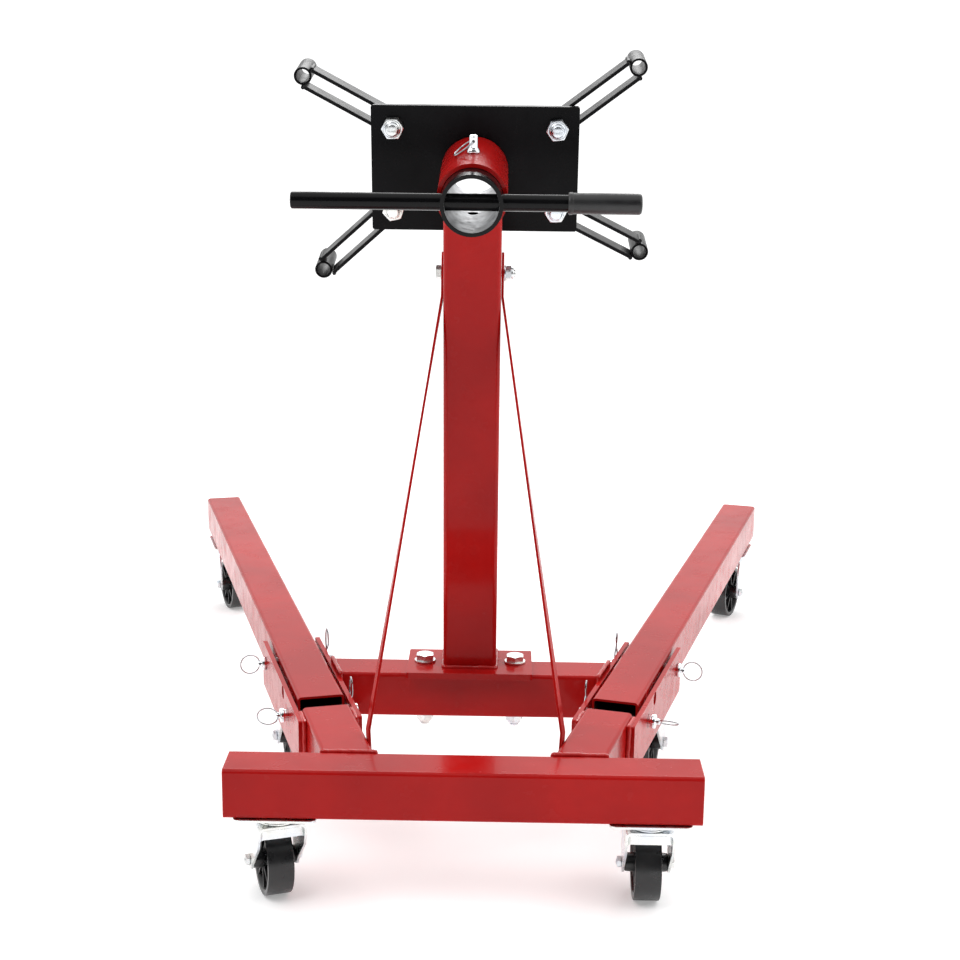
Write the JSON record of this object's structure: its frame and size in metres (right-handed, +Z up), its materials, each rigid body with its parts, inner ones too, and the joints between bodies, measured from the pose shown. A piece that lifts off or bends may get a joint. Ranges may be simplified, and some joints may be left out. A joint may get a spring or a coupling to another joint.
{
  "type": "engine stand",
  "caption": "Folding engine stand on swivel casters: splayed legs, leaning post and a turning head plate with slotted clamp arms, index pin and turning bar.",
  "frame": {"origin": "on the floor, under the centre of the bounding box", "axes": "+X to the operator's right, +Y from the operator along the legs towards the engine, +Z up"},
  "size_m": [1.0104, 1.2892, 0.9806],
  "materials": {
    "red_enamel": "gloss red enamel over steel tube and plate",
    "satin_black": "satin black paint",
    "gloss_black": "gloss black paint",
    "zinc": "bright zinc plate",
    "bright_pin": "bright plated steel",
    "wheel_rubber": "hard black wheel",
    "grip_rubber": "black rubber sleeve"
  },
  "bodies": {
    "frame": {"rear_crossbar": "red_enamel", "mid_crossbar": "red_enamel", "side_tube_left": "red_enamel", "side_tube_right": "red_enamel", "bracket_outer_left": "red_enamel", "bracket_inner_left": "red_enamel", "bracket_outer_right": "red_enamel", "bracket_inner_right": "red_enamel", "post_foot_plate": "red_enamel", "base_bolt_left": "zinc", "base_bolt_right": "zinc", "post": "red_enamel", "collar_tube": "red_enamel", "brace_left": "red_enamel", "brace_right": "red_enamel", "brace_bolt": "zinc", "caster_plate_rear_left": "zinc", "caster_plate_rear_right": "zinc", "caster_plate_mid_left": "zinc", "caster_plate_mid_right": "zinc"},
    "leg_left": {"leg_left": "red_enamel", "caster_plate_front_left": "zinc"},
    "pivot_pin_left": {"pivot_pin_left": "bright_pin"},
    "lock_pin_left": {"lock_pin_left": "bright_pin"},
    "caster_rear_left": {"caster_fork_rear_left": "zinc", "caster_axle_rear_left": "zinc"},
    "wheel_rear_left": {"caster_wheel_rear_left": "wheel_rubber"},
    "caster_mid_left": {"caster_fork_mid_left": "zinc", "caster_axle_mid_left": "zinc"},
    "wheel_mid_left": {"caster_wheel_mid_left": "wheel_rubber"},
    "caster_front_left": {"caster_fork_front_left": "zinc", "caster_axle_front_left": "zinc"},
    "wheel_front_left": {"caster_wheel_front_left": "wheel_rubber"},
    "leg_right": {"leg_right": "red_enamel", "caster_plate_front_right": "zinc"},
    "pivot_pin_right": {"pivot_pin_right": "bright_pin"},
    "lock_pin_right": {"lock_pin_right": "bright_pin"},
    "caster_rear_right": {"caster_fork_rear_right": "zinc", "caster_axle_rear_right": "zinc"},
    "wheel_rear_right": {"caster_wheel_rear_right": "wheel_rubber"},
    "caster_mid_right": {"caster_fork_mid_right": "zinc", "caster_axle_mid_right": "zinc"},
    "wheel_mid_right": {"caster_wheel_mid_right": "wheel_rubber"},
    "caster_front_right": {"caster_fork_front_right": "zinc", "caster_axle_front_right": "zinc"},
    "wheel_front_right": {"caster_wheel_front_right": "wheel_rubber"},
    "index_pin": {"index_pin": "bright_pin"},
    "head": {"head_tube": "gloss_black", "head_plate": "satin_black"},
    "handle": {"handle_bar": "gloss_black", "handle_grip": "grip_rubber"},
    "arm_bolt_upper_left": {"arm_bolt_upper_left": "zinc"},
    "arm_upper_left": {"arm_upper_left": "satin_black"},
    "arm_bolt_upper_right": {"arm_bolt_upper_right": "zinc"},
    "arm_upper_right": {"arm_upper_right": "satin_black"},
    "arm_bolt_lower_left": {"arm_bolt_lower_left": "zinc"},
    "arm_lower_left": {"arm_lower_left": "satin_black"},
    "arm_bolt_lower_right": {"arm_bolt_lower_right": "zinc"},
    "arm_lower_right": {"arm_lower_right": "satin_black"}
  },
  "joints": [
    {"name": "leg_left_fold", "type": "hinge", "parent": "frame", "child": "leg_left", "pos_m": [-0.19293, -0.37567, 0.1455], "axis": [0.9629, 0.2699, 0], "range_deg": [0, 68]},
    {"name": "pivot_pin_left_draw", "type": "slide", "parent": "frame", "child": "pivot_pin_left", "axis": [-0.9629, -0.2699, 0], "range_m": [0, 0.115]},
    {"name": "lock_pin_left_draw", "type": "slide", "parent": "frame", "child": "lock_pin_left", "axis": [-0.9629, -0.2699, 0], "range_m": [0, 0.115]},
    {"name": "caster_rear_left_swivel", "type": "hinge", "parent": "frame", "child": "caster_rear_left", "pos_m": [-0.216, -0.61046, 0.1055], "axis": [0, 0, 1], "continuous": true},
    {"name": "wheel_rear_left_spin", "type": "hinge", "parent": "caster_rear_left", "child": "wheel_rear_left", "pos_m": [-0.22489, -0.58603, 0.0445], "axis": [0.9397, 0.342, 0], "continuous": true},
    {"name": "caster_mid_left_swivel", "type": "hinge", "parent": "frame", "child": "caster_mid_left", "pos_m": [-0.23585, -0.22257, 0.1055], "axis": [0, 0, 1], "continuous": true},
    {"name": "wheel_mid_left_spin", "type": "hinge", "parent": "caster_mid_left", "child": "wheel_mid_left", "pos_m": [-0.24287, -0.19753, 0.0445], "axis": [0.9629, 0.2699, 0], "continuous": true},
    {"name": "caster_front_left_swivel", "type": "hinge", "parent": "leg_left", "child": "caster_front_left", "pos_m": [-0.45233, 0.54966, 0.1055], "axis": [0, 0, 1], "continuous": true},
    {"name": "wheel_front_left_spin", "type": "hinge", "parent": "caster_front_left", "child": "wheel_front_left", "pos_m": [-0.44176, 0.52591, 0.0445], "axis": [-0.9135, -0.4067, 0], "continuous": true},
    {"name": "leg_right_fold", "type": "hinge", "parent": "frame", "child": "leg_right", "pos_m": [0.19293, -0.37567, 0.1455], "axis": [0.9629, -0.2699, 0], "range_deg": [0, 68]},
    {"name": "pivot_pin_right_draw", "type": "slide", "parent": "frame", "child": "pivot_pin_right", "axis": [0.9629, -0.2699, 0], "range_m": [0, 0.115]},
    {"name": "lock_pin_right_draw", "type": "slide", "parent": "frame", "child": "lock_pin_right", "axis": [0.9629, -0.2699, 0], "range_m": [0, 0.115]},
    {"name": "caster_rear_right_swivel", "type": "hinge", "parent": "frame", "child": "caster_rear_right", "pos_m": [0.216, -0.61046, 0.1055], "axis": [0, 0, 1], "continuous": true},
    {"name": "wheel_rear_right_spin", "type": "hinge", "parent": "caster_rear_right", "child": "wheel_rear_right", "pos_m": [0.216, -0.58446, 0.0445], "axis": [1, 0, 0], "continuous": true},
    {"name": "caster_mid_right_swivel", "type": "hinge", "parent": "frame", "child": "caster_mid_right", "pos_m": [0.23585, -0.22257, 0.1055], "axis": [0, 0, 1], "continuous": true},
    {"name": "wheel_mid_right_spin", "type": "hinge", "parent": "caster_mid_right", "child": "wheel_mid_right", "pos_m": [0.24287, -0.19753, 0.0445], "axis": [0.9629, -0.2699, 0], "continuous": true},
    {"name": "caster_front_right_swivel", "type": "hinge", "parent": "leg_right", "child": "caster_front_right", "pos_m": [0.45233, 0.54966, 0.1055], "axis": [0, 0, 1], "continuous": true},
    {"name": "wheel_front_right_spin", "type": "hinge", "parent": "caster_front_right", "child": "wheel_front_right", "pos_m": [0.44176, 0.52591, 0.0445], "axis": [-0.9135, 0.4067, 0], "continuous": true},
    {"name": "index_pin_lift", "type": "slide", "parent": "frame", "child": "index_pin", "axis": [0, -0.1736, 0.9848], "range_m": [0, 0.035]},
    {"name": "head_turn", "type": "hinge", "parent": "frame", "child": "head", "pos_m": [0, -0.38249, 0.81993], "axis": [0, 0.9848, 0.1736], "continuous": true},
    {"name": "handle_slide", "type": "slide", "parent": "head", "child": "handle", "axis": [1, 0, 0], "range_m": [-0.07, 0.15]},
    {"name": "arm_upper_left_swing", "type": "hinge", "parent": "head", "child": "arm_bolt_upper_left", "pos_m": [-0.101, -0.30241, 0.88583], "axis": [0, 0.9848, 0.1736], "range_deg": [-15, 15]},
    {"name": "arm_upper_left_slide", "type": "slide", "parent": "arm_bolt_upper_left", "child": "arm_upper_left", "axis": [-0.8812, -0.0821, 0.4655], "range_m": [-0.015, 0.02]},
    {"name": "arm_upper_right_swing", "type": "hinge", "parent": "head", "child": "arm_bolt_upper_right", "pos_m": [0.101, -0.30241, 0.88583], "axis": [0, 0.9848, 0.1736], "range_deg": [-15, 15]},
    {"name": "arm_upper_right_slide", "type": "slide", "parent": "arm_bolt_upper_right", "child": "arm_upper_right", "axis": [0.7951, -0.1053, 0.5973], "range_m": [-0.015, 0.02]},
    {"name": "arm_lower_left_swing", "type": "hinge", "parent": "head", "child": "arm_bolt_lower_left", "pos_m": [-0.101, -0.2847, 0.78538], "axis": [0, 0.9848, 0.1736], "range_deg": [-15, 15]},
    {"name": "arm_lower_left_slide", "type": "slide", "parent": "arm_bolt_lower_left", "child": "arm_lower_left", "axis": [-0.7388, 0.117, -0.6636], "range_m": [-0.015, 0.02]},
    {"name": "arm_lower_right_swing", "type": "hinge", "parent": "head", "child": "arm_bolt_lower_right", "pos_m": [0.101, -0.2847, 0.78538], "axis": [0, 0.9848, 0.1736], "range_deg": [-15, 15]},
    {"name": "arm_lower_right_slide", "type": "slide", "parent": "arm_bolt_lower_right", "child": "arm_lower_right", "axis": [0.8928, 0.0782, -0.4437], "range_m": [-0.015, 0.02]}
  ]
}
